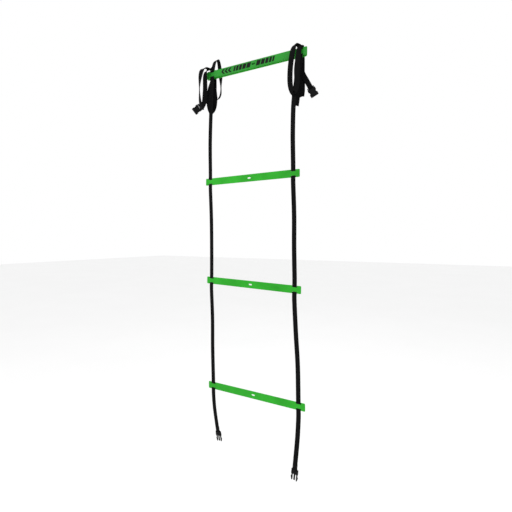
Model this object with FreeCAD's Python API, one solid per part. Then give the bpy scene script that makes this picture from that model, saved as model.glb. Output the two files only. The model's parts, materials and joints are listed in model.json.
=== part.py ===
import FreeCAD, Part
import math
import os

# Agility ladder: flat plastic rungs on two webbing straps, hung from its first rung.
# Millimetres. +X runs along the first rung, +Z is up, the ladder's front faces -Y.
# The origin is the centre of the first rung.

# ---------------------------------------------------------------- driving dimensions
RUNG_LENGTH = 470.0
RUNG_WIDTH = 30.0
RUNG_THICK = 3.2
RUNG_EDGE_ROUND = 1.1
RUNG_CORNER_ROUND = 4.0

WEB_WIDTH = 20.0
WEB_THICK = 1.2
WEB_CLEARANCE = 0.15

STRAP_X = 208.0
SLOT_LENGTH = 22.0
SLOT_HEIGHT = 3.0
CENTRE_BAR = 16.5
HANG_SLOT_LENGTH = 17.0
HANG_SLOT_HEIGHT = 6.0

STACK_PITCH = 6.2
STACK_SLIP = (0.0, -9.0, -6.0, -11.0)
STACK_LIFT = (0.0, 1.0, -0.6, 1.4)

# Where each hanging rung rests: centre, twist about Z and tilt about Y, in degrees.
HANGING_RUNGS = {
    "rung_2": ((-20.0, -2.6, -460.4), -4.57, -0.15),
    "rung_3": ((-15.1, -1.1, -893.8), -4.65, -1.19),
    "rung_4": ((-4.7, 4.7, -1342.8), -3.06, 0.91),
}

# How far each run of webbing wanders off the straight line, at a third and two thirds
# of its length: sideways, then to the back.
WANDER = {
    (1, -1): ((0.0, -4.0), (-2.0, -3.0)),
    (1, 1): ((-14.0, -3.0), (-11.0, -1.0)),
    (2, -1): ((2.0, 1.0), (3.0, -1.0)),
    (2, 1): ((1.5, 1.0), (0.5, -1.0)),
    (3, -1): ((3.0, -1.0), (-1.0, 1.0)),
    (3, 1): ((0.5, 0.0), (2.5, 1.0)),
}

TAIL_STUB = 2.0
BEND_BACK = 4.0

BUCKLE_WIDTH = 28.0
BUCKLE_THICK = 6.5
BUCKLE_BAR = 1.7
CHEEK_GAP = 0.6
CHEEK_THICK = 5.4
CHEEK_TOP = 3.0
PLATE_TOP = -4.4
PLATE_LOW = -16.0
PRONG_ROOT_X = 10.2
PRONG_LENGTH = 24.0
PRONG_WIDTH = 4.8
PRONG_THICK = 3.6
PRONG_GAP = 0.32
BARB_REACH = 0.8
GUIDE_WIDTH = 6.5
GUIDE_THICK = 2.8
SOCKET_THICK = 10.0
SOCKET_MOUTH = -36.0
SOCKET_WALL = 1.7
SOCKET_ROUND = 2.4
WINDOW_REACH = 11.0
WINDOW_HEIGHT = 4.6
NOTCH_WIDTH = 4.0

STITCH_ROWS = 3
STITCH_WIDTH = 15.0

# ---------------------------------------------------------------- derived dimensions
SIDES = {"left": -1, "right": 1}
STRAP_Y = RUNG_THICK / 2 + WEB_CLEARANCE + WEB_THICK / 2
EDGE_Z = RUNG_WIDTH / 2
SLOT_Z = CENTRE_BAR / 2 + SLOT_HEIGHT / 2
THREAD_END_Z = EDGE_Z + TAIL_STUB


def vec(x, y, z):
    return FreeCAD.Vector(x, y, z)


def placement(centre, twist=0.0, tilt=0.0):
    """Frame of a rung: tilt lifts its right end, twist turns it about the vertical."""
    turn = FreeCAD.Rotation(vec(0, 0, 1), twist) * FreeCAD.Rotation(vec(0, 1, 0), -tilt)
    return FreeCAD.Placement(vec(*centre), turn)


def placed(shape, where):
    copy = shape.copy()
    copy.Placement = where.multiply(copy.Placement)
    return copy


# ---------------------------------------------------------------- paths and ribbons
# A control is a point and the compass heading of the webbing's width there, in degrees.
# A station is a point and a vector along the webbing's width.
def blended(a, b, from_a, from_b, at):
    share = (at - from_a) / (from_b - from_a)
    return [p + (q - p) * share for p, q in zip(a, b)]


def smooth(controls, steps):
    """Centripetal Catmull-Rom curve through the controls, as stations."""
    before = [2 * p - q for p, q in zip(controls[0], controls[1])]
    after = [2 * p - q for p, q in zip(controls[-1], controls[-2])]
    padded = [before] + [list(control) for control in controls] + [after]
    rows = []
    for i in range(1, len(padded) - 2):
        a, b, c, d = padded[i - 1:i + 3]
        k = [0.0]
        for p, q in ((a, b), (b, c), (c, d)):
            k.append(k[-1] + math.sqrt(math.dist(p[:3], q[:3])))
        for step in range(steps):
            t = k[1] + (k[2] - k[1]) * step / steps
            ab = blended(a, b, k[0], k[1], t)
            bc = blended(b, c, k[1], k[2], t)
            cd = blended(c, d, k[2], k[3], t)
            rows.append(blended(blended(ab, bc, k[0], k[2], t),
                                blended(bc, cd, k[1], k[3], t), k[1], k[2], t))
    rows.append(list(controls[-1]))
    return [(vec(*row[:3]), heading(row[3])) for row in rows]


def heading(degrees):
    return vec(math.cos(math.radians(degrees)), math.sin(math.radians(degrees)), 0)


def ribbon(stations):
    """Flat band of webbing whose centreline runs through the stations."""
    points = [point for point, _ in stations]
    sections = []
    for i, (centre, width) in enumerate(stations):
        ahead = points[min(i + 1, len(points) - 1)]
        behind = points[max(i - 1, 0)]
        along = (ahead - behind).normalize()
        across = (width - along * width.dot(along)).normalize()
        half_w = across * (WEB_WIDTH / 2)
        half_t = along.cross(across) * (WEB_THICK / 2)
        sections.append([centre - half_w - half_t, centre + half_w - half_t,
                         centre + half_w + half_t, centre - half_w + half_t])
    return skinned(sections)


def skinned(sections):
    """Solid through four-cornered sections, with flat facets between them."""
    corners = [corner for section in sections for corner in section]
    last = len(corners) - 4
    facets = [(0, 1, 2), (0, 2, 3), (last, last + 2, last + 1), (last, last + 3, last + 2)]
    for base in range(0, last, 4):
        for k in range(4):
            a, b = base + k, base + (k + 1) % 4
            facets += [(a, a + 4, b + 4), (a, b + 4, b)]
    shell = Part.Shape()
    shell.makeShapeFromMesh((corners, facets), 0.001)
    solid = Part.Solid(shell)
    if solid.Volume < 0:
        solid.reverse()
    return solid


def arc_points(cy, cz, radius, start, end, steps=5):
    """Points on an arc in the YZ plane, angles in degrees from +Y towards +Z."""
    angles = [math.radians(start + (end - start) * i / steps) for i in range(steps + 1)]
    return [(cy + radius * math.cos(a), cz + radius * math.sin(a)) for a in angles]


# ---------------------------------------------------------------- rungs
def slot_cut(x, z, length, height):
    """Through slot with round ends, along X."""
    radius = height / 2
    straight = length - height
    cut = Part.makeBox(straight, 2 * RUNG_THICK, height,
                       vec(x - straight / 2, -RUNG_THICK, z - radius))
    for end in (-1, 1):
        cut = cut.fuse(Part.makeCylinder(radius, 2 * RUNG_THICK,
                                         vec(x + end * straight / 2, -RUNG_THICK, z), vec(0, 1, 0)))
    return cut


def square_slot_cut(x, z):
    return Part.makeBox(SLOT_LENGTH, 2 * RUNG_THICK, SLOT_HEIGHT,
                        vec(x - SLOT_LENGTH / 2, -RUNG_THICK, z - SLOT_HEIGHT / 2))


def rung():
    """Flat slat with rounded edges, two webbing slots at each end and a centre hang slot."""
    slat = Part.makeBox(RUNG_LENGTH, RUNG_THICK, RUNG_WIDTH,
                        vec(-RUNG_LENGTH / 2, -RUNG_THICK / 2, -EDGE_Z))
    corners = [e for e in slat.Edges if abs(e.tangentAt(e.FirstParameter).y) > 0.9]
    slat = slat.makeFillet(RUNG_CORNER_ROUND, corners)
    long_edges = [e for e in slat.Edges
                  if abs(abs(e.CenterOfMass.y) - RUNG_THICK / 2) < 0.01]
    slat = slat.makeFillet(RUNG_EDGE_ROUND, long_edges)
    slat = slat.cut(slot_cut(0, 0, HANG_SLOT_LENGTH, HANG_SLOT_HEIGHT))
    for side in SIDES.values():
        for half in (-1, 1):
            slat = slat.cut(square_slot_cut(side * STRAP_X, half * SLOT_Z))
    return slat


def thread(side):
    """Webbing woven through one end of a rung: over its edges and behind its centre bar."""
    centre = RUNG_THICK / 2 - WEB_CLEARANCE
    bend = STRAP_Y - centre
    front = [(-STRAP_Y, THREAD_END_Z), (-STRAP_Y, EDGE_Z), (-STRAP_Y, SLOT_Z + 2 * bend)]
    upper = front + arc_points(-centre, SLOT_Z + bend, bend, 180, 270)
    upper += arc_points(centre, SLOT_Z - bend, bend, 90, 0)
    lower = [(y, -z) for y, z in reversed(upper)]
    return ribbon([(vec(side * STRAP_X, y, z), vec(1, 0, 0)) for y, z in upper + lower])


def stack_frame(index):
    """Place of a folded rung behind the first; every second one is turned over."""
    where = placement((STACK_SLIP[index], STACK_PITCH * index, STACK_LIFT[index]))
    if index % 2:
        flip = FreeCAD.Placement(vec(0, 0, 0), FreeCAD.Rotation(vec(0, 0, 1), 180))
        where = where.multiply(flip)
    return where


# ---------------------------------------------------------------- hanging webbing
FRAMES = {"rung_1": placement((0, 0, 0))}
for rung_name, rest in HANGING_RUNGS.items():
    FRAMES[rung_name] = placement(*rest)
TWIST = {"rung_1": 0.0}
for rung_name, rest in HANGING_RUNGS.items():
    TWIST[rung_name] = rest[1]


def strap_point(rung_name, side, z):
    """Centre of the webbing in front of a rung's edge, in the ladder's frame."""
    local = vec(side * STRAP_X, -STRAP_Y, z)
    return FRAMES[rung_name].multVec(local)


def bay_path(bay, side):
    """Stations of the webbing from one rung down to the next."""
    upper, lower = "rung_%d" % bay, "rung_%d" % (bay + 1)
    top = strap_point(upper, side, -THREAD_END_Z - 0.2)
    top_in = strap_point(upper, side, -THREAD_END_Z - 14.0)
    end = strap_point(lower, side, THREAD_END_Z + 0.2)
    end_in = strap_point(lower, side, THREAD_END_Z + 14.0)
    controls = [(*top, TWIST[upper]), (*top_in, TWIST[upper])]
    for share, (sideways, back) in zip((1 / 3, 2 / 3), WANDER[bay, side]):
        point = top_in + (end_in - top_in) * share + vec(sideways, back, 0)
        controls.append((*point, TWIST[upper] + (TWIST[lower] - TWIST[upper]) * share))
    controls += [(*end_in, TWIST[lower]), (*end, TWIST[lower])]
    return smooth(controls, 8)


def halves(stations):
    """Split a run of webbing at its middle station, leaving a hair's gap."""
    middle = len(stations) // 2
    gap = 0.1
    above, centre, below = (stations[middle + k][0] for k in (-1, 0, 1))
    width = stations[middle][1]
    upper_end = centre + (above - centre).normalize() * gap
    lower_start = centre + (below - centre).normalize() * gap
    return (stations[:middle] + [(upper_end, width)],
            [(lower_start, width)] + stations[middle + 1:])


# ---------------------------------------------------------------- folded webbing
def edge_point(index, side, top):
    """Where the webbing clears the edge of a stacked rung."""
    facing = 1 if index % 2 else -1
    end = THREAD_END_Z + 0.2
    return (side * STRAP_X + STACK_SLIP[index], STACK_PITCH * index + facing * STRAP_Y,
            STACK_LIFT[index] + (end if top else -end), 0.0)


def moved(start, bearing, reach, rise, azimuth=0.0):
    """A control at a reach and rise from the start, along a compass bearing in degrees."""
    out = heading(bearing) * reach
    return (start[0] + out.x, start[1] + out.y, start[2] + rise, azimuth)


def leg(start, drop, bearing, reach, crest, leans, azimuths):
    """One leg of a folded loop: up off the rung, over, and down to the bend.

    Over the crest the webbing lies square to its bearing. Half way down and near the
    bend it leans further out by leans. Azimuths are at the shoulder, half way and low."""
    square = (bearing + 90) % 180
    square = square - 180 if square > 90 else square
    turn = min(8.0, 6.0 + crest)
    return [start,
            moved(start, bearing, 0, turn * 0.2),
            moved(start, bearing, 0, turn * 0.4),
            moved(start, bearing, 1.2, turn),
            moved(start, bearing, reach * 0.32, 5 + crest * 0.8, square * 0.5),
            moved(start, bearing, reach * 0.65, 4 + crest, square),
            moved(start, bearing, reach * 0.98, crest * 0.2 - 8, azimuths[0]),
            moved(start, bearing, reach + leans[0], -drop * 0.5, azimuths[1]),
            moved(start, bearing, reach + leans[1], -drop * 0.86, azimuths[2])]


def folded_loop(indexes, side, drop, legs, bend_azimuth):
    """Slack webbing thrown over the rungs' top edge, from one stacked rung to the next.

    Each leg has its bearing, reach, crest, leans and azimuths."""
    start, end = (edge_point(index, side, True) for index in indexes)
    out = leg(start, drop, *legs[0])
    back = leg(end, drop, *legs[1])
    middle = [(p + q) / 2 for p, q in zip(out[-1][:2], back[-1][:2])]
    bend = (*middle, min(out[-1][2], back[-1][2]) - drop * 0.14, bend_azimuth)
    return smooth(out + [bend] + back[::-1], 5)


def hanging_loop(indexes, side, drop, spread, aside, azimuths):
    """Slack webbing below two neighbouring stacked rungs, its bend drawn back and aside.

    The spread is a bearing and how far each leg stands off along it. Azimuths are half
    way down, low and at the bend."""
    start, end = (edge_point(index, side, False) for index in indexes)
    bearing, width = spread
    shape = ((0.0, 0.0, 3.0, 0.0), (0.0, 0.0, 8.0, 0.0), (0.7, 0.35, drop * 0.3, azimuths[0]),
             (1.0, 0.75, drop * 0.62, azimuths[0]), (0.55, 1.0, drop * 0.9, azimuths[1]))
    legs = []
    for foot, apart in ((start, -1), (end, 1)):
        row = [foot]
        for share, lean, depth, azimuth in shape:
            x, y, z, _ = moved(foot, bearing, apart * share * width, -depth)
            row.append((x + aside * lean, y + BEND_BACK * lean, z, azimuth))
        legs.append(row)
    bend = ((start[0] + end[0]) / 2 + aside, (start[1] + end[1]) / 2 + BEND_BACK,
            start[2] - drop, azimuths[2])
    return smooth(legs[0] + [bend] + legs[1][::-1], 5)


# ---------------------------------------------------------------- webbing ends
def wrap(stations, hem=26.0):
    """Carry a tail on round its buckle's bar and back up as a sewn hem.

    Returns the longer run of stations and the frame of the bar: X along the bar,
    Y through the webbing to the back, Z up the webbing."""
    end, width = stations[-1]
    up = (stations[-2][0] - end).normalize()
    across = (width - up * width.dot(up)).normalize()
    back = up.cross(across)
    radius = BUCKLE_BAR + 0.3 + WEB_THICK / 2
    bar = end + back * radius
    lap = -radius + WEB_THICK + 0.15
    outline = arc_points(0, 0, radius, 180, 360, 8)[1:]
    outline += [((radius + lap) / 2, 4.5), (lap, 9.0), (lap, hem * 0.6), (lap, hem)]
    longer = list(stations)
    for depth, height in outline:
        longer.append((bar + back * depth + up * height, across))
    matrix = FreeCAD.Matrix(across.x, back.x, up.x, bar.x, across.y, back.y, up.y, bar.y,
                            across.z, back.z, up.z, bar.z, 0, 0, 0, 1)
    return longer, FreeCAD.Placement(matrix)


def hem_straight(stations, length=30.0):
    """Add a straight last stretch, where the hem will lie."""
    end, width = stations[-1]
    along = (end - stations[-2][0]).normalize()
    return stations + [(end + along * length * share, width) for share in (0.12, 0.56, 1.0)]


def bottom_tail_path(side, length, sideways, back):
    """Free end of the webbing below the last rung."""
    twist = TWIST["rung_4"]
    top = strap_point("rung_4", side, -THREAD_END_Z - 0.2)
    down = strap_point("rung_4", side, -THREAD_END_Z - 16.0)
    controls = [(*top, twist), (*down, twist)]
    for share, lean in ((0.45, 0.3), (1.0, 1.0)):
        point = down + vec(sideways * lean, back * lean, -length * share)
        controls.append((*point, twist))
    return hem_straight(smooth(controls, 8))


def top_tail_path(side, bearing, reach, drop, elbow, azimuths):
    """Free end of the webbing below the last stacked rung.

    The elbow is the share of the reach, and of the drop, made where the webbing turns."""
    start = edge_point(3, side, False)
    aside, down = elbow
    controls = [start,
                moved(start, bearing, 0, -2),
                moved(start, bearing, 0, -4),
                moved(start, bearing, 0.8, -9),
                moved(start, bearing, reach * aside * 0.3, -drop * down / 2, azimuths[0] * 0.3),
                moved(start, bearing, reach * aside, -drop * down, azimuths[0]),
                moved(start, bearing, reach, -drop, azimuths[1])]
    return hem_straight(smooth(controls, 8))


def bar_tack(reach=13.0, pitch=3.5):
    """Rows of thread across the hem, front and back, in the bar's frame."""
    radius = BUCKLE_BAR + 0.3 + WEB_THICK / 2
    front = -radius - WEB_THICK / 2 - 0.22
    back = -radius + WEB_THICK * 1.5 + 0.15 + 0.22
    rows = []
    for depth in (front, back):
        for row in range(STITCH_ROWS):
            bar = Part.makeBox(STITCH_WIDTH, 0.4, 0.8,
                               vec(-STITCH_WIDTH / 2, depth - 0.2, reach + row * pitch))
            rows.append(bar)
    return Part.makeCompound(rows)


# ---------------------------------------------------------------- buckles
def rounded_box(size, corner, radius):
    box = Part.makeBox(*size, vec(*corner))
    return box.makeFillet(radius, box.Edges)


def webbing_bar(cheek_low):
    """Bar that the webbing wraps, between two cheeks, centred on the origin."""
    inner = WEB_WIDTH / 2 + CHEEK_GAP
    outer = BUCKLE_WIDTH / 2
    bar = Part.makeCylinder(BUCKLE_BAR, 2 * outer - 2, vec(-outer + 1, 0, 0), vec(1, 0, 0))
    for side in SIDES.values():
        x = inner if side > 0 else -outer
        cheek = rounded_box((outer - inner, CHEEK_THICK, CHEEK_TOP - cheek_low),
                            (x, -CHEEK_THICK / 2, cheek_low), 1.2)
        bar = bar.fuse(cheek)
    return bar


def male_buckle():
    """Buckle body: webbing bar, shoulder plate and the straight guide prong."""
    body = webbing_bar(PLATE_TOP - 2.0)
    plate = rounded_box((BUCKLE_WIDTH, BUCKLE_THICK, PLATE_TOP - PLATE_LOW),
                        (-BUCKLE_WIDTH / 2, -BUCKLE_THICK / 2, PLATE_LOW), 1.4)
    overlap = 2.0
    guide = rounded_box((GUIDE_WIDTH, GUIDE_THICK, PRONG_LENGTH),
                        (-GUIDE_WIDTH / 2, -GUIDE_THICK / 2, PLATE_LOW - PRONG_LENGTH + overlap),
                        1.0)
    return body.fuse([plate, guide]).removeSplitter()


def prong(side):
    """Springy side prong with its barbed head."""
    root, tip = PLATE_LOW - PRONG_GAP, PLATE_LOW - PRONG_LENGTH
    inner, outer = PRONG_ROOT_X - PRONG_WIDTH / 2, PRONG_ROOT_X + PRONG_WIDTH / 2
    barb = BUCKLE_WIDTH / 2 + BARB_REACH
    outline = [(inner, root), (outer, root), (outer - 0.3, root - 7.5), (barb, root - 8.5),
               (barb, root - 11.0), (outer - 0.8, tip + 1.5), (PRONG_ROOT_X - 0.3, tip),
               (inner, tip + 1.8)]
    points = [vec(side * x, -PRONG_THICK / 2, z) for x, z in outline]
    face = Part.Face(Part.makePolygon(points + points[:1]))
    solid = face.extrude(vec(0, PRONG_THICK, 0))
    return solid.makeFillet(0.45, solid.Edges)


def female_buckle():
    """Buckle housing: webbing bar, hollow shell with side windows and an open mouth."""
    width, deep = BUCKLE_WIDTH + 4.0, PLATE_TOP - SOCKET_MOUTH
    shell = rounded_box((width, SOCKET_THICK, deep),
                        (-width / 2, -SOCKET_THICK / 2, SOCKET_MOUTH), SOCKET_ROUND)
    side_wall, floor = SOCKET_WALL + 0.5, 3.0
    cavity = Part.makeBox(width - 2 * side_wall, SOCKET_THICK - 2 * SOCKET_WALL, deep - floor,
                          vec(-width / 2 + side_wall, -SOCKET_THICK / 2 + SOCKET_WALL,
                              SOCKET_MOUTH - 1.0))
    window_low = SOCKET_MOUTH + WINDOW_REACH
    window = Part.makeBox(width + 2.0, WINDOW_HEIGHT, WINDOW_REACH,
                          vec(-width / 2 - 1.0, -WINDOW_HEIGHT / 2, window_low))
    shell = shell.cut(cavity).cut(window)
    for x in (-width / 2 - 1.2, width / 2 + 1.2 - NOTCH_WIDTH):
        notch = Part.makeBox(NOTCH_WIDTH, SOCKET_THICK + 2.0, WINDOW_REACH,
                             vec(x, -SOCKET_THICK / 2 - 1.0, window_low))
        shell = shell.cut(notch)
    return shell.fuse(webbing_bar(PLATE_TOP - 2.0)).removeSplitter()


# ---------------------------------------------------------------- assembly
LOOPS = {
    "left_front_loop": folded_loop((0, 1), -1, 172,
                                   ((203, 29, 0, (2, 8), (-10, 26, 10)),
                                    (246, 50, 3.5, (10, 6), (15, -42, -20))), -35),
    "left_back_loop": folded_loop((2, 3), -1, 112,
                                  ((73, 42, 54, (3, -2), (5, -42, -25)),
                                   (98, 11, 6, (0, 2), (5, 24, 15))), -15),
    "left_hanging_loop": hanging_loop((1, 2), -1, 152, (31, 12), -6, (26, -20, -50)),
    "right_front_loop": folded_loop((0, 1), 1, 178,
                                    ((257, 7, -2, (15, 16), (6, 28, 15)),
                                     (235, 27, 9, (13, 11), (10, 30, 15))), -15),
    "right_back_loop": folded_loop((2, 3), 1, 176,
                                   ((95, 22, 12, (0, 2), (5, 18, 18)),
                                    (95, 5, 0, (-1, 0), (5, 18, 18))), 12),
    "right_hanging_loop": hanging_loop((1, 2), 1, 180, (90, 6), -18, (20, 30, 30)),
}

TAILS = {
    "left_bottom_tail": wrap(bottom_tail_path(-1, 138.0, 14.0, 6.0)),
    "right_bottom_tail": wrap(bottom_tail_path(1, 180.0, -12.0, -3.0)),
    "left_top_tail": wrap(top_tail_path(-1, 190, 42, 90, (0.25, 0.74), (16, 20))),
    "right_top_tail": wrap(top_tail_path(1, 18, 25, 88, (0.35, 0.64), (8, 14))),
}
BARS = {name: bar for name, (stations, bar) in TAILS.items()}


def rungs():
    slat = rung()
    pieces = {name: placed(slat, where) for name, where in FRAMES.items()}
    for index in (1, 2, 3):
        pieces["rung_%d" % (index + 4)] = placed(slat, stack_frame(index))
    return pieces


def side_webbing(word, side):
    """Webbing of one side: the woven stretches and the runs between hanging rungs."""
    pieces = {}
    for name, where in FRAMES.items():
        pieces["%s_webbing_in_%s" % (word, name)] = placed(thread(side), where)
    for index in (1, 2, 3):
        turned = -side if index % 2 else side
        pieces["%s_webbing_in_rung_%d" % (word, index + 4)] = placed(thread(turned),
                                                                     stack_frame(index))
    for bay in (1, 2, 3):
        upper, lower = halves(bay_path(bay, side))
        pieces["%s_webbing_bay_%d_upper" % (word, bay)] = ribbon(upper)
        pieces["%s_webbing_bay_%d_lower" % (word, bay)] = ribbon(lower)
    return pieces


def buckle_pieces(word, side):
    """Buckle halves at both ends of one side's webbing."""
    plug, socket = BARS["%s_bottom_tail" % word], BARS["%s_top_tail" % word]
    return {
        "%s_male_buckle" % word: placed(male_buckle(), plug),
        "%s_buckle_prong_inner" % word: placed(prong(-side), plug),
        "%s_buckle_prong_outer" % word: placed(prong(side), plug),
        "%s_female_buckle" % word: placed(female_buckle(), socket),
    }


def build():
    """Every piece, by node name."""
    pieces = rungs()
    for word, side in SIDES.items():
        pieces.update(side_webbing(word, side))
        pieces.update(buckle_pieces(word, side))
    for name, stations in LOOPS.items():
        pieces[name] = ribbon(stations)
    for name, (stations, bar) in TAILS.items():
        pieces[name] = ribbon(stations)
        pieces[name + "_stitching"] = placed(bar_tack(), bar)
    return pieces


os.makedirs("parts", exist_ok=True)
for node, shape in build().items():
    shape.exportStep("parts/%s.step" % node)
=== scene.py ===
import json
import math
import bmesh
import bpy
import numpy as np
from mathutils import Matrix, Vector

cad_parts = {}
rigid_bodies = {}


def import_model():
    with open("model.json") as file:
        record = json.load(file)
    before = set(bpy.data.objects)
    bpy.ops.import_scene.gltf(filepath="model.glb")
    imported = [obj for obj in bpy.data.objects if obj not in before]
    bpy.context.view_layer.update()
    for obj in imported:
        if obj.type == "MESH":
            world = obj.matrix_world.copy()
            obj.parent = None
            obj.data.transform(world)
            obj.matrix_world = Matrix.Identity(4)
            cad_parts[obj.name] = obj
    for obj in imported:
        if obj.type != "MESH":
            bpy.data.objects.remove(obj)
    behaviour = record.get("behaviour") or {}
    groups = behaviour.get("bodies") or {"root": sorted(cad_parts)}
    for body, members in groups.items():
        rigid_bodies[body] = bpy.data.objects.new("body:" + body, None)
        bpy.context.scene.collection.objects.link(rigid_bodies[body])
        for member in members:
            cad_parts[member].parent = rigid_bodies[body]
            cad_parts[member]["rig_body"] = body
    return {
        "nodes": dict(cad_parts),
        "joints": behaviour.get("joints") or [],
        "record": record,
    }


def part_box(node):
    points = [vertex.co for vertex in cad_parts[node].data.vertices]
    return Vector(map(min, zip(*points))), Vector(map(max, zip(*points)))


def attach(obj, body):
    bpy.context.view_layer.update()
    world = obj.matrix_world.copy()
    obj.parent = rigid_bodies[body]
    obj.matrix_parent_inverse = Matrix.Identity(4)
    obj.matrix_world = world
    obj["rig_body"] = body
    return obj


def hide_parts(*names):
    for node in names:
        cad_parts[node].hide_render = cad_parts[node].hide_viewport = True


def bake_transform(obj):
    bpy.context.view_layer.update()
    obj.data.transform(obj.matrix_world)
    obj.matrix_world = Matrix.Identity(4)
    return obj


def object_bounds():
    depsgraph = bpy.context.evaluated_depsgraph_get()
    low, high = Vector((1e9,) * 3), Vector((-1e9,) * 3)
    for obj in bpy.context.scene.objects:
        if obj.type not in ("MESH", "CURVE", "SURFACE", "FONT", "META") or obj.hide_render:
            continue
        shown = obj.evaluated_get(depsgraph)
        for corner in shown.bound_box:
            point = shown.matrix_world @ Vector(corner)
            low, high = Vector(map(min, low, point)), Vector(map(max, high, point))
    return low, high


# Agility ladder: green plastic rungs, black woven webbing, black side-release buckles.
# Metres, in the frame of the CAD: +X along the first rung, +Z up, the front faces -Y.

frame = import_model()
cad_low, cad_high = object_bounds()

MM = 0.001
SIDES = ("left", "right")
BAYS = (1, 2, 3)
RUNGS = tuple("rung_%d" % number for number in range(1, 8))

# Woven webbing
RING_STEP = 1.0 * MM
WELD_REACH = 0.004 * MM
SEAM_REACH = 0.6 * MM
RIBS = 11
RIB_POINTS = 4
RIB_DEPTH = 0.13 * MM
RIB_ROUNDNESS = 0.6
SELVAGE = 0.9 * MM
SELVAGE_POINTS = 6
TWILL_DEPTH = 0.08 * MM
TWILL_PITCH = 4.0 * MM
YARN_COLUMN_MM = 1.65
YARN_PITCH_MM = 0.9
YARN_SLANT = 3.2
SEALED_LENGTH = 1.6 * MM
SEALED_PINCH = 0.75

# Reaches around the hinges, and the length of the pieces of webbing cut at them
HINGE_REACH = 5.8 * MM
FOLD_REACH = 7.4 * MM
BEND_PIECE = 16.0 * MM

# Moulded plastic
WORN_EDGE = 0.9 * MM

# Sewing
THREAD_RADIUS = 0.2 * MM
THREAD_SIDES = 8
ZIGZAGS = 13
ZIGZAG_HALF_HEIGHT = 0.75 * MM
ZIGZAG_LIFT = 0.3

# Graphic printed on the first rung
PRINT_THICK = 0.12 * MM
PRINT_HEIGHT = 20.0 * MM
PRINT_SLANT = 6.0 * MM
CHEVRON_WIDTH = 9.5 * MM
CHEVRON_TIPS = (-160.0, -143.0, -126.0)
BARS = ((14, 18), (36, 16), (56, 13), (73, 11), (88, 8))

# Camera and stage
LOOK_AT = Vector((0.0113, 0.0, -0.701))
CAMERA_DISTANCE = 1.6226
CAMERA_BEARING = math.radians(30.95)
CAMERA_LENS = 28.29
CAMERA_SHIFT = -0.0369
FLOOR_GAP = 0.09
FLOOR_SIZE = 30.0


# ---------------------------------------------------------------- reading the frame
def welded(node):
    """A CAD node's mesh with its doubled corners joined."""
    mesh = bmesh.new()
    mesh.from_mesh(frame["nodes"][node].data)
    bmesh.ops.remove_doubles(mesh, verts=mesh.verts, dist=WELD_REACH)
    mesh.verts.index_update()
    return mesh


def neighbours(corners):
    return {edge.other_vert(corner) for corner in corners for edge in corner.link_edges}


def ribbon_sections(node):
    """Four corners of each section of a CAD ribbon, from its upper end to its other end."""
    mesh = welded(node)
    end_corners = {corner for corner in mesh.verts if len(corner.link_edges) < 6}
    ring = {max(end_corners, key=lambda corner: (corner.co.z, corner.index))}
    while len(ring) < 4:
        ring |= neighbours(ring) & end_corners
    seen, sections = set(), []
    while ring:
        sections.append([corner.co.copy() for corner in sorted(ring, key=lambda c: c.index)])
        seen |= ring
        ring = neighbours(ring) - seen
    mesh.free()
    return sections


def section_size(corners):
    """Centre, vector across the width and thickness of one section."""
    first = corners[0]
    partner = min(corners[1:], key=lambda corner: (corner - first).length)
    far = [corner for corner in corners[1:] if corner is not partner]
    across = (far[0] + far[1]) / 2 - (first + partner) / 2
    centre = (first + partner + far[0] + far[1]) / 4
    return centre, across, (partner - first).length


def ribbon(node):
    """Stations of a CAD ribbon, as centre and vector across, and its width and thickness."""
    stations = []
    last_across = Vector((1, 0, 0))
    for corners in ribbon_sections(node):
        centre, across, thickness = section_size(corners)
        if across.dot(last_across) < 0:
            across = -across
        last_across = across
        stations.append((centre, across))
    return stations, last_across.length, thickness


def body_of(node):
    return frame["nodes"][node]["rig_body"]


def joined(stations, ends):
    """Stations reaching on to the ends of the neighbouring webbing, where one is close by."""
    stations = list(stations)
    for place in (0, -1):
        centre, across = stations[place]
        near, near_across = min(ends, key=lambda end: (end[0] - centre).length)
        if 0 < (near - centre).length < SEAM_REACH:
            extra = (near, near_across if near_across.dot(across) > 0 else -near_across)
            stations = [extra] + stations if place == 0 else stations + [extra]
    return stations


# ---------------------------------------------------------------- webbing
class Rings:
    """Sections of a strip: centre, unit vectors across and through, distance along."""

    def __init__(self, centre, across, through, along):
        self.centre, self.across, self.through, self.along = centre, across, through, along

    def part(self, start, end):
        """The rings between two distances along the strip, both included."""
        keep = (self.along >= start - 1e-9) & (self.along <= end + 1e-9)
        return Rings(self.centre[keep], self.across[keep], self.through[keep], self.along[keep])

    def point(self, distance):
        return Vector(self.centre[np.abs(self.along - distance).argmin()])

    def nearest(self, height):
        """Distance along at which the strip passes a height."""
        return self.along[np.abs(self.centre[:, 2] - height).argmin()]


def unit(rows):
    return rows / np.linalg.norm(rows, axis=1)[:, None]


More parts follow.
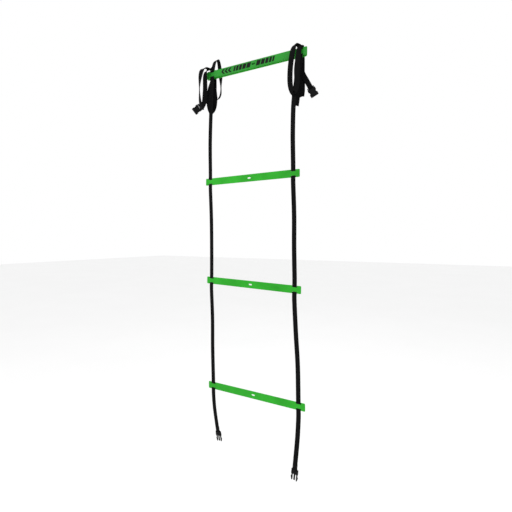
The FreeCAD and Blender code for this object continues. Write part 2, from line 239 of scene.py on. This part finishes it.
def rings_through(stations):
    """Closely spaced rings on a smooth curve through the stations."""
    points = np.array([centre for centre, _ in stations])
    widths = np.array([across.normalized() for _, across in stations])
    gaps = np.linalg.norm(np.diff(points, axis=0), axis=1)
    chords = np.diff(points, axis=0) / gaps[:, None]
    before, after = gaps[:-1, None], gaps[1:, None]
    inner = (chords[1:] * before + chords[:-1] * after) / (before + after)
    slopes = np.vstack([chords[:1], inner, chords[-1:]])
    centre, across, heading = [], [], []
    for i, gap in enumerate(gaps):
        count = max(1, math.ceil(gap / RING_STEP))
        for t in np.arange(count + (i == len(gaps) - 1)) / count:
            rise, fall = t * t * (3 - 2 * t), 6 * t * (1 - t)
            pull_out, pull_in = t * (1 - t) ** 2 * gap, t * t * (t - 1) * gap
            centre.append(points[i] * (1 - rise) + points[i + 1] * rise
                          + slopes[i] * pull_out + slopes[i + 1] * pull_in)
            turn_out, turn_in = (1 - t) * (1 - 3 * t) * gap, t * (3 * t - 2) * gap
            heading.append((points[i + 1] - points[i]) * fall
                           + slopes[i] * turn_out + slopes[i + 1] * turn_in)
            across.append(widths[i] * (1 - t) + widths[i + 1] * t)
    centre, across, heading = np.array(centre), np.array(across), unit(np.array(heading))
    across = unit(across - heading * np.sum(across * heading, axis=1)[:, None])
    steps = np.linalg.norm(np.diff(centre, axis=0), axis=1)
    along = np.concatenate([[0.0], np.cumsum(steps)])
    return Rings(centre, across, np.cross(heading, across), along)


def webbing_outline(width, thickness):
    """Section of the webbing: ribbed faces between two round selvages.

    Columns: across, through, how far the twill moves the point, and its rib's number."""
    half_width, half_thickness = width / 2 - SELVAGE, thickness / 2
    rows = []
    for face in (1, -1):
        for i in range(RIBS * RIB_POINTS + 1):
            share = i / (RIBS * RIB_POINTS)
            rib = min(int(share * RIBS), RIBS - 1)
            swell = math.sin(math.pi * (share * RIBS - rib)) if i % RIB_POINTS else 0.0
            crest = swell ** RIB_ROUNDNESS
            rows.append((face * half_width * (2 * share - 1),
                         face * (half_thickness - RIB_DEPTH * (1 - crest)), face * crest, rib))
        for i in range(SELVAGE_POINTS + 1):
            angle = math.pi * i / SELVAGE_POINTS
            rows.append((face * (half_width + SELVAGE * math.sin(angle)),
                         face * half_thickness * math.cos(angle), 0.0, 0))
    return np.array(rows).T


def new_piece(name, corners, faces, material):
    mesh = bpy.data.meshes.new(name)
    mesh.from_pydata(corners, [], faces)
    mesh.polygons.foreach_set("use_smooth", [True] * len(mesh.polygons))
    mesh.materials.append(material)
    mesh.update()
    piece = bpy.data.objects.new(name, mesh)
    bpy.context.scene.collection.objects.link(piece)
    return piece


def strip(name, rings, size, sealed=()):
    """Closed mesh of a length of webbing. sealed names the cut ends: 0, -1 or both."""
    across, through, twill, rib = webbing_outline(*size)
    count, around = len(rings.along), len(across)
    shrink = np.ones(count)
    for end in sealed:
        depth = np.abs(rings.along - rings.along[end]) / SEALED_LENGTH
        shrink *= np.sqrt(1 - SEALED_PINCH * (1 - np.clip(depth, 0, 1)) ** 2)
    wave = 0.5 + 0.5 * np.cos(2 * math.pi * (rings.along[:, None] / TWILL_PITCH + rib[None, :] / 4))
    height = (through[None, :] - twill[None, :] * TWILL_DEPTH * wave) * shrink[:, None]
    corners = (rings.centre[:, None, :] + rings.across[:, None, :] * across[None, :, None]
               + rings.through[:, None, :] * height[:, :, None]).reshape(-1, 3)
    ring, spot = np.meshgrid(np.arange(count - 1), np.arange(around), indexing="ij")
    after = (spot + 1) % around
    quads = np.stack([ring * around + spot, ring * around + after,
                      (ring + 1) * around + after, (ring + 1) * around + spot], axis=-1)
    last = (count - 1) * around
    caps = [list(range(around))[::-1], list(range(last, last + around))]
    piece = new_piece(name, corners.tolist(), quads.reshape(-1, 4).tolist() + caps,
                      WEBBING_MATERIAL)
    mesh = piece.data
    for polygon in mesh.polygons[-2:]:
        for loop in polygon.loop_indices:
            mesh.edges[mesh.loops[loop].edge_index].use_edge_sharp = True
    corner_of = np.zeros(len(mesh.loops), int)
    mesh.loops.foreach_get("vertex_index", corner_of)
    layer = mesh.uv_layers.new(name="weave")
    uv = np.stack([across[corner_of % around], rings.along[corner_of // around]], axis=-1) / MM
    layer.data.foreach_set("uv", uv.astype(np.float32).ravel())
    return piece


# ---------------------------------------------------------------- materials
def node(tree, kind, inputs=None, **settings):
    made = tree.nodes.new(kind)
    for name, value in settings.items():
        setattr(made, name, value)
    for socket, value in (inputs or {}).items():
        if isinstance(value, bpy.types.NodeSocket):
            tree.links.new(value, made.inputs[socket])
        else:
            made.inputs[socket].default_value = value
    return made


def new_material(name):
    """A material with one Principled shader, and that shader."""
    material = bpy.data.materials.new(name)
    material.use_nodes = True
    tree = material.node_tree
    tree.nodes.clear()
    shader = node(tree, "ShaderNodeBsdfPrincipled")
    node(tree, "ShaderNodeOutputMaterial", {"Surface": shader.outputs["BSDF"]})
    return material, tree, shader


def maths(tree, operation, first, second=0.0):
    return node(tree, "ShaderNodeMath", {0: first, 1: second}, operation=operation).outputs[0]


def ramp(tree, factor, low, high, start=0.0, end=1.0):
    """A value or colour that runs from low to high as the factor runs from start to end."""
    made = node(tree, "ShaderNodeMapRange", {"Value": factor, "From Min": start, "From Max": end,
                                             "To Min": low, "To Max": high})
    return made.outputs["Result"]


def mixed(tree, factor, first, second):
    made = node(tree, "ShaderNodeMix", {"Factor": factor}, data_type="RGBA")
    for socket, value in ((made.inputs[6], first), (made.inputs[7], second)):
        if isinstance(value, bpy.types.NodeSocket):
            tree.links.new(value, socket)
        else:
            socket.default_value = value
    return made.outputs[2]


def noise(tree, coordinates, scale, detail=3.0, stretch=None):
    if stretch:
        coordinates = node(tree, "ShaderNodeMapping",
                           {"Vector": coordinates, "Scale": stretch}).outputs["Vector"]
    made = node(tree, "ShaderNodeTexNoise",
                {"Vector": coordinates, "Scale": scale, "Detail": detail})
    return made.outputs["Fac"]


def bumped(tree, shader, height, distance, strength=1.0, under=None):
    made = node(tree, "ShaderNodeBump",
                {"Height": height, "Distance": distance, "Strength": strength})
    if under is not None:
        tree.links.new(under, made.inputs["Normal"])
    tree.links.new(made.outputs["Normal"], shader.inputs["Normal"])
    return made.outputs["Normal"]


def plastic(name, colour, roughness, grain, worn, gloss):
    """Moulded plastic: mottled colour, fine grain, long scuffs and pale wear along its edges."""
    material, tree, shader = new_material(name)
    place = node(tree, "ShaderNodeTexCoord").outputs["Object"]
    mottle = noise(tree, place, 14.0, 4.0)
    flow = noise(tree, place, 30.0, 3.0, (1.0, 6.0, 9.0))
    scuff = noise(tree, place, 60.0, 6.0, (0.6, 9.0, 14.0))
    scuffed = ramp(tree, scuff, 0.0, 1.0, 0.60, 0.74)
    dark = tuple(channel * 0.80 for channel in colour) + (1.0,)
    light = tuple(min(1.0, channel * 1.12 + 0.004) for channel in colour) + (1.0,)
    pale = tuple(channel + (worn - channel) * 0.30 for channel in colour) + (1.0,)
    surface = mixed(tree, ramp(tree, mottle, 0.0, 1.0, 0.3, 0.7), dark, light)
    streak = maths(tree, "MULTIPLY", ramp(tree, flow, 0.0, 1.0, 0.45, 0.7), 0.35)
    surface = mixed(tree, streak, surface, light)
    surface = mixed(tree, maths(tree, "MULTIPLY", scuffed, 0.16), surface, pale)
    true_normal = node(tree, "ShaderNodeNewGeometry").outputs["Normal"]
    round_normal = node(tree, "ShaderNodeBevel", {"Radius": WORN_EDGE}, samples=4).outputs["Normal"]
    facing = node(tree, "ShaderNodeVectorMath", {0: true_normal, 1: round_normal},
                  operation="DOT_PRODUCT")
    edge = ramp(tree, facing.outputs["Value"], 1.0, 0.0, 0.86, 0.99)
    chipped = ramp(tree, noise(tree, place, 180.0, 5.0), 0.15, 1.0, 0.42, 0.66)
    wear = maths(tree, "MULTIPLY", maths(tree, "MULTIPLY", edge, chipped), 0.45)
    surface = mixed(tree, wear, surface, pale)
    tree.links.new(surface, shader.inputs["Base Color"])
    rough = maths(tree, "ADD", ramp(tree, mottle, roughness - 0.05, roughness + 0.06, 0.3, 0.7),
                  maths(tree, "MULTIPLY", scuffed, 0.18))
    tree.links.new(rough, shader.inputs["Roughness"])
    shader.inputs["Specular IOR Level"].default_value = gloss
    fine = bumped(tree, shader, noise(tree, place, 1600.0, 2.0), grain * MM)
    bumped(tree, shader, scuff, 0.04 * MM, 0.5, fine)
    return material


def webbing_material():
    """Black woven polyester: diagonal twill yarns, with painted highlights on their crests and
    painted shade in the hollows between them.
    """
    material, tree, shader = new_material("webbing")
    weave = node(tree, "ShaderNodeUVMap", uv_map="weave").outputs["UV"]
    place = node(tree, "ShaderNodeTexCoord").outputs["Object"]
    split = node(tree, "ShaderNodeSeparateXYZ", {"Vector": weave})
    rib = maths(tree, "MULTIPLY", split.outputs["X"], 1 / YARN_COLUMN_MM)
    pair = maths(tree, "FRACT", maths(tree, "MULTIPLY", rib, 0.5))
    mirror = maths(tree, "ABSOLUTE", maths(tree, "SUBTRACT", pair, 0.5))
    slant = maths(tree, "ADD", maths(tree, "MULTIPLY", split.outputs["Y"], 1 / YARN_PITCH_MM),
                  maths(tree, "MULTIPLY", mirror, YARN_SLANT))
    yarn = maths(tree, "ABSOLUTE", maths(tree, "SINE", maths(tree, "MULTIPLY", slant, math.pi)))
    fibre = noise(tree, weave, 9.0, 3.0, (3.0, 0.5, 1.0))
    # Noise that varies how strong the painted highlight on the yarn crests is.
    crest_highlight_noise = noise(tree, place, 22.0, 5.0)
    height = maths(tree, "ADD", yarn, maths(tree, "MULTIPLY", fibre, 0.5))
    # Painted highlight and shade: yarn crests lighter, hollows between the yarns darker.
    crest = maths(tree, "MULTIPLY", yarn, ramp(tree, crest_highlight_noise, 0.55, 1.0, 0.3, 0.7))
    surface = mixed(tree, crest, (0.0010, 0.0010, 0.0011, 1.0), (0.0060, 0.0060, 0.0064, 1.0))
    fuzz = ramp(tree, fibre, 0.0, 0.35, 0.5, 0.8)
    surface = mixed(tree, fuzz, surface, (0.011, 0.011, 0.012, 1.0))
    tree.links.new(surface, shader.inputs["Base Color"])
    tree.links.new(ramp(tree, fibre, 0.62, 0.88, 0.3, 0.7), shader.inputs["Roughness"])
    shader.inputs["Specular IOR Level"].default_value = 0.07
    bumped(tree, shader, height, 0.14 * MM, 0.9)
    return material


def thread_material():
    """Black sewing thread, twisted from two plies, with a painted highlight along the raised ply.
    """
    material, tree, shader = new_material("sewing_thread")
    place = node(tree, "ShaderNodeTexCoord").outputs["Object"]
    ply = node(tree, "ShaderNodeTexWave", {"Vector": place, "Scale": 900.0, "Distortion": 1.5},
               bands_direction="DIAGONAL").outputs["Fac"]
    # Painted highlight: the raised ply is coloured lighter than the rest of the thread.
    surface = mixed(tree, ply, (0.002, 0.002, 0.002, 1.0), (0.018, 0.018, 0.020, 1.0))
    tree.links.new(surface, shader.inputs["Base Color"])
    shader.inputs["Specular IOR Level"].default_value = 0.12
    tree.links.new(ramp(tree, ply, 0.5, 0.7), shader.inputs["Roughness"])
    bumped(tree, shader, ply, 0.05 * MM)
    return material


def ink_material():
    """Black screen print, a little thin in places so that the green shows through."""
    material, tree, shader = new_material("printed_ink")
    place = node(tree, "ShaderNodeTexCoord").outputs["Object"]
    thin = ramp(tree, noise(tree, place, 420.0, 6.0), 0.0, 1.0, 0.60, 0.70)
    surface = mixed(tree, maths(tree, "MULTIPLY", thin, 0.35), (0.0030, 0.0042, 0.0030, 1.0),
                    (0.01, 0.10, 0.01, 1.0))
    tree.links.new(surface, shader.inputs["Base Color"])
    tree.links.new(ramp(tree, thin, 0.52, 0.70), shader.inputs["Roughness"])
    shader.inputs["Specular IOR Level"].default_value = 0.10
    bumped(tree, shader, noise(tree, place, 900.0, 3.0), 0.02 * MM)
    return material


def floor_material():
    material, tree, shader = new_material("pale_floor")
    place = node(tree, "ShaderNodeTexCoord").outputs["Object"]
    cloud = noise(tree, place, 1.5, 4.0)
    surface = mixed(tree, cloud, (0.90, 0.90, 0.90, 1.0), (0.93, 0.93, 0.93, 1.0))
    tree.links.new(surface, shader.inputs["Base Color"])
    shader.inputs["Roughness"].default_value = 0.9
    shader.inputs["Specular IOR Level"].default_value = 0.05
    return material


RUNG_GREEN = (0.022, 0.385, 0.017)
TOP_RUNG_GREEN = (0.012, 0.262, 0.016)
BUCKLE_BLACK = (0.0022, 0.0022, 0.0025)
WEBBING_MATERIAL = webbing_material()
THREAD_MATERIAL = thread_material()
CAD_MATERIALS = {
    "top_rung_plastic": plastic("top_rung_plastic", TOP_RUNG_GREEN, 0.42, 0.030, 0.50, 0.16),
    "rung_plastic": plastic("rung_plastic", RUNG_GREEN, 0.42, 0.030, 0.62, 0.16),
    "buckle_plastic": plastic("buckle_plastic", BUCKLE_BLACK, 0.40, 0.022, 0.06, 0.09),
}


def paint_cad_nodes():
    """Rungs and buckles keep their CAD shape and take the material of their slot."""
    slots = {part["node"]: part["material_slot"] for part in frame["record"]["subparts"]}
    for name, piece in frame["nodes"].items():
        material = CAD_MATERIALS.get(slots[name])
        if material:
            piece.data.materials.clear()
            piece.data.materials.append(material)


# ---------------------------------------------------------------- pieces of webbing
def woven_stretches(side):
    """Webbing through each rung. Returns the ends that the other stretches join on to."""
    ends = []
    for rung in RUNGS:
        source = "%s_webbing_in_%s" % (side, rung)
        stations, *size = ribbon(source)
        piece = strip("%s_%s_weave" % (side, rung), rings_through(stations), size)
        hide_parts(source)
        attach(piece, body_of(source))
        ends += [stations[0], stations[-1]]
    return ends


def loops(side, ends):
    """Slack webbing of the folded rungs."""
    for place in ("front", "hanging", "back"):
        source = "%s_%s_loop" % (side, place)
        stations, *size = ribbon(source)
        piece = strip(source + "_webbing", rings_through(joined(stations, ends)), size)
        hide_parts(source)
        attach(piece, body_of(source))


def top_tail(side, ends):
    """Free end behind the folded rungs, which holds the female buckle."""
    source = side + "_top_tail"
    stations, *size = ribbon(source)
    piece = strip(source + "_webbing", rings_through(joined(stations, ends)), size, sealed=(-1,))
    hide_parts(source)
    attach(piece, body_of(source))


def joint(name):
    return next(entry for entry in frame["joints"] if entry["name"] == name)


def bend(piece, rings, name, reach):
    """Look up a joint's place along the strip and the points a reach before and after it, then bake
    the piece's transform; the piece is not bent.
    """
    entry = joint(name)
    middle = rings.nearest(entry["pos_m"][2])
    rings.point(middle - reach)
    rings.point(middle + reach)
    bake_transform(piece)


def bay(side, number, ends):
    """Webbing between two hanging rungs, cut in three pieces: a short piece at each rung and the
    length between them.
    """
    halves = ["%s_webbing_bay_%d_%s" % (side, number, half) for half in ("upper", "lower")]
    upper, *size = ribbon(halves[0])
    lower, _, _ = ribbon(halves[1])
    rings = rings_through(joined(upper[:-1] + lower, ends))
    length = rings.along[-1]
    name = "%s_bay_%d" % (side, number)
    top_end = rings.along[np.abs(rings.along - BEND_PIECE).argmin()]
    low_end = rings.along[np.abs(rings.along - (length - BEND_PIECE)).argmin()]
    top = strip(name + "_upper_bend", rings.part(0, top_end), size)
    bend(top, rings, "bay_%d_swing" % number, HINGE_REACH)
    middle = strip(name + "_webbing", rings.part(top_end, low_end), size)
    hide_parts(*halves)
    bend(middle, rings, "bay_%d_fold" % number, FOLD_REACH)
    low = strip(name + "_lower_bend", rings.part(low_end, length), size)
    bend(low, rings, "rung_%d_level" % (number + 1), HINGE_REACH)


def bottom_tail(side, ends):
    """Free end below the last rung, which holds the male buckle."""
    source = side + "_bottom_tail"
    stations, *size = ribbon(source)
    rings = rings_through(joined(stations, ends))
    piece = strip(source + "_webbing", rings, size, sealed=(-1,))
    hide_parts(source)
    bend(piece, rings, source + "_swing", HINGE_REACH)


# ---------------------------------------------------------------- sewing
def loose_boxes(node):
    """Corners of each separate box in a CAD node."""
    mesh = welded(node)
    left = set(mesh.verts)
    boxes = []
    while left:
        box = {min(left, key=lambda corner: corner.index)}
        grown = box | neighbours(box)
        while len(grown) > len(box):
            box, grown = grown, grown | neighbours(grown)
        left -= box
        boxes.append([corner.co.copy() for corner in sorted(box, key=lambda c: c.index)])
    mesh.free()
    return boxes


def box_axes(corners):
    """Centre of a box, and its edges from the shortest to the longest."""
    first = corners[0]
    offsets = sorted((corner - first for corner in corners[1:]), key=lambda offset: offset.length)
    centre = sum(corners, Vector()) / len(corners)
    return centre, offsets[0], offsets[1], offsets[3]


def tube(path, radius, corners, faces):
    """Add a round closed tube along a path to a mesh's corners and faces."""
    base = len(corners)
    count = len(path)
    for i, point in enumerate(path):
        ahead = (path[min(i + 1, count - 1)] - path[max(i - 1, 0)]).normalized()
        side = ahead.orthogonal() if i == 0 else side - ahead * side.dot(ahead)
        side.normalize()
        other = ahead.cross(side)
        for k in range(THREAD_SIDES):
            angle = 2 * math.pi * k / THREAD_SIDES
            corners.append(point + (side * math.cos(angle) + other * math.sin(angle)) * radius)
    for i in range(count - 1):
        for k in range(THREAD_SIDES):
            a, b = base + i * THREAD_SIDES + k, base + i * THREAD_SIDES + (k + 1) % THREAD_SIDES
            faces.append((a, b, b + THREAD_SIDES, a + THREAD_SIDES))
    faces.append(tuple(base + k for k in reversed(range(THREAD_SIDES))))
    faces.append(tuple(base + (count - 1) * THREAD_SIDES + k for k in range(THREAD_SIDES)))


def zigzag(centre, thin, tall, long):
    """Path of one bar tack: dense zigzag stitches along the box's length."""
    turns = 2 * ZIGZAGS
    up = tall.normalized() * ZIGZAG_HALF_HEIGHT
    path = []
    for i in range(turns * 4 + 1):
        share = i / (turns * 4)
        swing = 2 * abs(2 * ((share * ZIGZAGS) % 1.0) - 1) - 1
        wave = math.cos(4 * math.pi * share * ZIGZAGS)
        lift = thin.normalized() * THREAD_RADIUS * ZIGZAG_LIFT * wave
        path.append(centre + long * (share - 0.5) + up * swing + lift)
    return path


def bar_tacks(node):
    """Sewn bar tacks in place of a node's plain boxes."""
    corners, faces = [], []
    for box in loose_boxes(node):
        tube(zigzag(*box_axes(box)), THREAD_RADIUS, corners, faces)
    piece = new_piece(node + "_tacks", corners, faces, THREAD_MATERIAL)
    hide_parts(node)
    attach(piece, body_of(node))


# ---------------------------------------------------------------- graphic on the first rung
def slanted_bar(left, width):
    half = PRINT_HEIGHT / 2
    lean = PRINT_SLANT / 2
    return [(left - lean, -half), (left + width - lean, -half),
            (left + width + lean, half), (left + lean, half)]


def chevron(tip):
    """Arrow head with its point at tip, facing -X."""
    half = PRINT_HEIGHT / 2
    back = tip + half
    return [(tip, 0.0), (back, half), (back + CHEVRON_WIDTH, half),
            (tip + CHEVRON_WIDTH, 0.0), (back + CHEVRON_WIDTH, -half), (back, -half)]


def printed_shapes():
    """Outlines on the rung's face: chevrons, then bars that thin out on either side of the slot."""
    shapes = [chevron(tip * MM) for tip in CHEVRON_TIPS]
    for left, width in BARS:
        shapes.append(slanted_bar(left * MM, width * MM))
        shapes.append(slanted_bar(-(left + width) * MM, width * MM))
    return shapes


def rung_print():
    """Thin raised print on the front face of the first rung."""
    low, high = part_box("rung_1")
    middle = (low + high) / 2
    corners, faces = [], []
    for outline in printed_shapes():
        area = sum(a[0] * b[1] - b[0] * a[1] for a, b in zip(outline, outline[1:] + outline[:1]))
        outline = outline if area > 0 else outline[::-1]
        base, count = len(corners), len(outline)
        for depth in (low.y - PRINT_THICK, low.y + PRINT_THICK):
            corners += [Vector((middle.x + x, depth, middle.z + z)) for x, z in outline]
        faces.append(tuple(base + k for k in range(count)))
        faces.append(tuple(base + count + k for k in reversed(range(count))))
        for k in range(count):
            a, b = base + k, base + (k + 1) % count
            faces.append((a, a + count, b + count, b))
    piece = new_piece("rung_1_print", corners, faces, ink_material())
    piece.data.polygons.foreach_set("use_smooth", [False] * len(piece.data.polygons))
    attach(piece, body_of("rung_1"))


# ---------------------------------------------------------------- stage
def add_floor():
    half = FLOOR_SIZE / 2
    height = cad_low.z - FLOOR_GAP
    mesh = bpy.data.meshes.new("floor")
    corners = [(-half, -half, height), (half, -half, height), (half, half, height),
               (-half, half, height)]
    mesh.from_pydata(corners, [], [(0, 1, 2, 3)])
    mesh.materials.append(floor_material())
    floor = bpy.data.objects.new("floor", mesh)
    bpy.context.scene.collection.objects.link(floor)


def around(bearing, rise, distance):
    """A place at a bearing to the right of the ladder's front and a rise above the camera's aim."""
    flat = math.cos(rise)
    ray = Vector((math.sin(bearing) * flat, -math.cos(bearing) * flat, math.sin(rise)))
    return LOOK_AT + ray * distance


def add_light(name, bearing, rise, distance, size, power):
    light = bpy.data.lights.new(name, "AREA")
    light.shape = "DISK"
    light.size = size
    light.energy = power
    lamp = bpy.data.objects.new(name, light)
    lamp.location = around(math.radians(bearing), math.radians(rise), distance)
    lamp.rotation_euler = (LOOK_AT - lamp.location).to_track_quat("-Z", "Y").to_euler()
    bpy.context.scene.collection.objects.link(lamp)


def add_world():
    world = bpy.data.worlds.new("studio")
    world.use_nodes = True
    background = world.node_tree.nodes["Background"]
    background.inputs["Color"].default_value = (1.0, 1.0, 1.0, 1.0)
    background.inputs["Strength"].default_value = 1.0
    bpy.context.scene.world = world


def add_camera():
    camera = bpy.data.cameras.new("camera")
    camera.sensor_width = 36.0
    camera.lens = CAMERA_LENS
    camera.shift_y = CAMERA_SHIFT
    camera.clip_end = 100.0
    holder = bpy.data.objects.new("camera", camera)
    holder.location = around(CAMERA_BEARING, 0.0, CAMERA_DISTANCE)
    holder.rotation_euler = (math.pi / 2, 0.0, CAMERA_BEARING)
    bpy.context.scene.collection.objects.link(holder)
    bpy.context.scene.camera = holder


paint_cad_nodes()
for side in SIDES:
    ends = woven_stretches(side)
    loops(side, ends)
    top_tail(side, ends)
    bottom_tail(side, ends)
    for number in BAYS:
        bay(side, number, ends)
    for tail in ("top", "bottom"):
        bar_tacks("%s_%s_tail_stitching" % (side, tail))
rung_print()
add_floor()
# Each light's bearing and rise in degrees, its distance and size in metres, its power in watts
add_light("key", -30, 42, 2.6, 1.6, 12)
add_light("fill", 65, 25, 2.8, 2.0, 5)
add_light("back", 170, 50, 2.6, 1.6, 8)
add_world()
add_camera()
bpy.context.scene.view_settings.view_transform = "Standard"
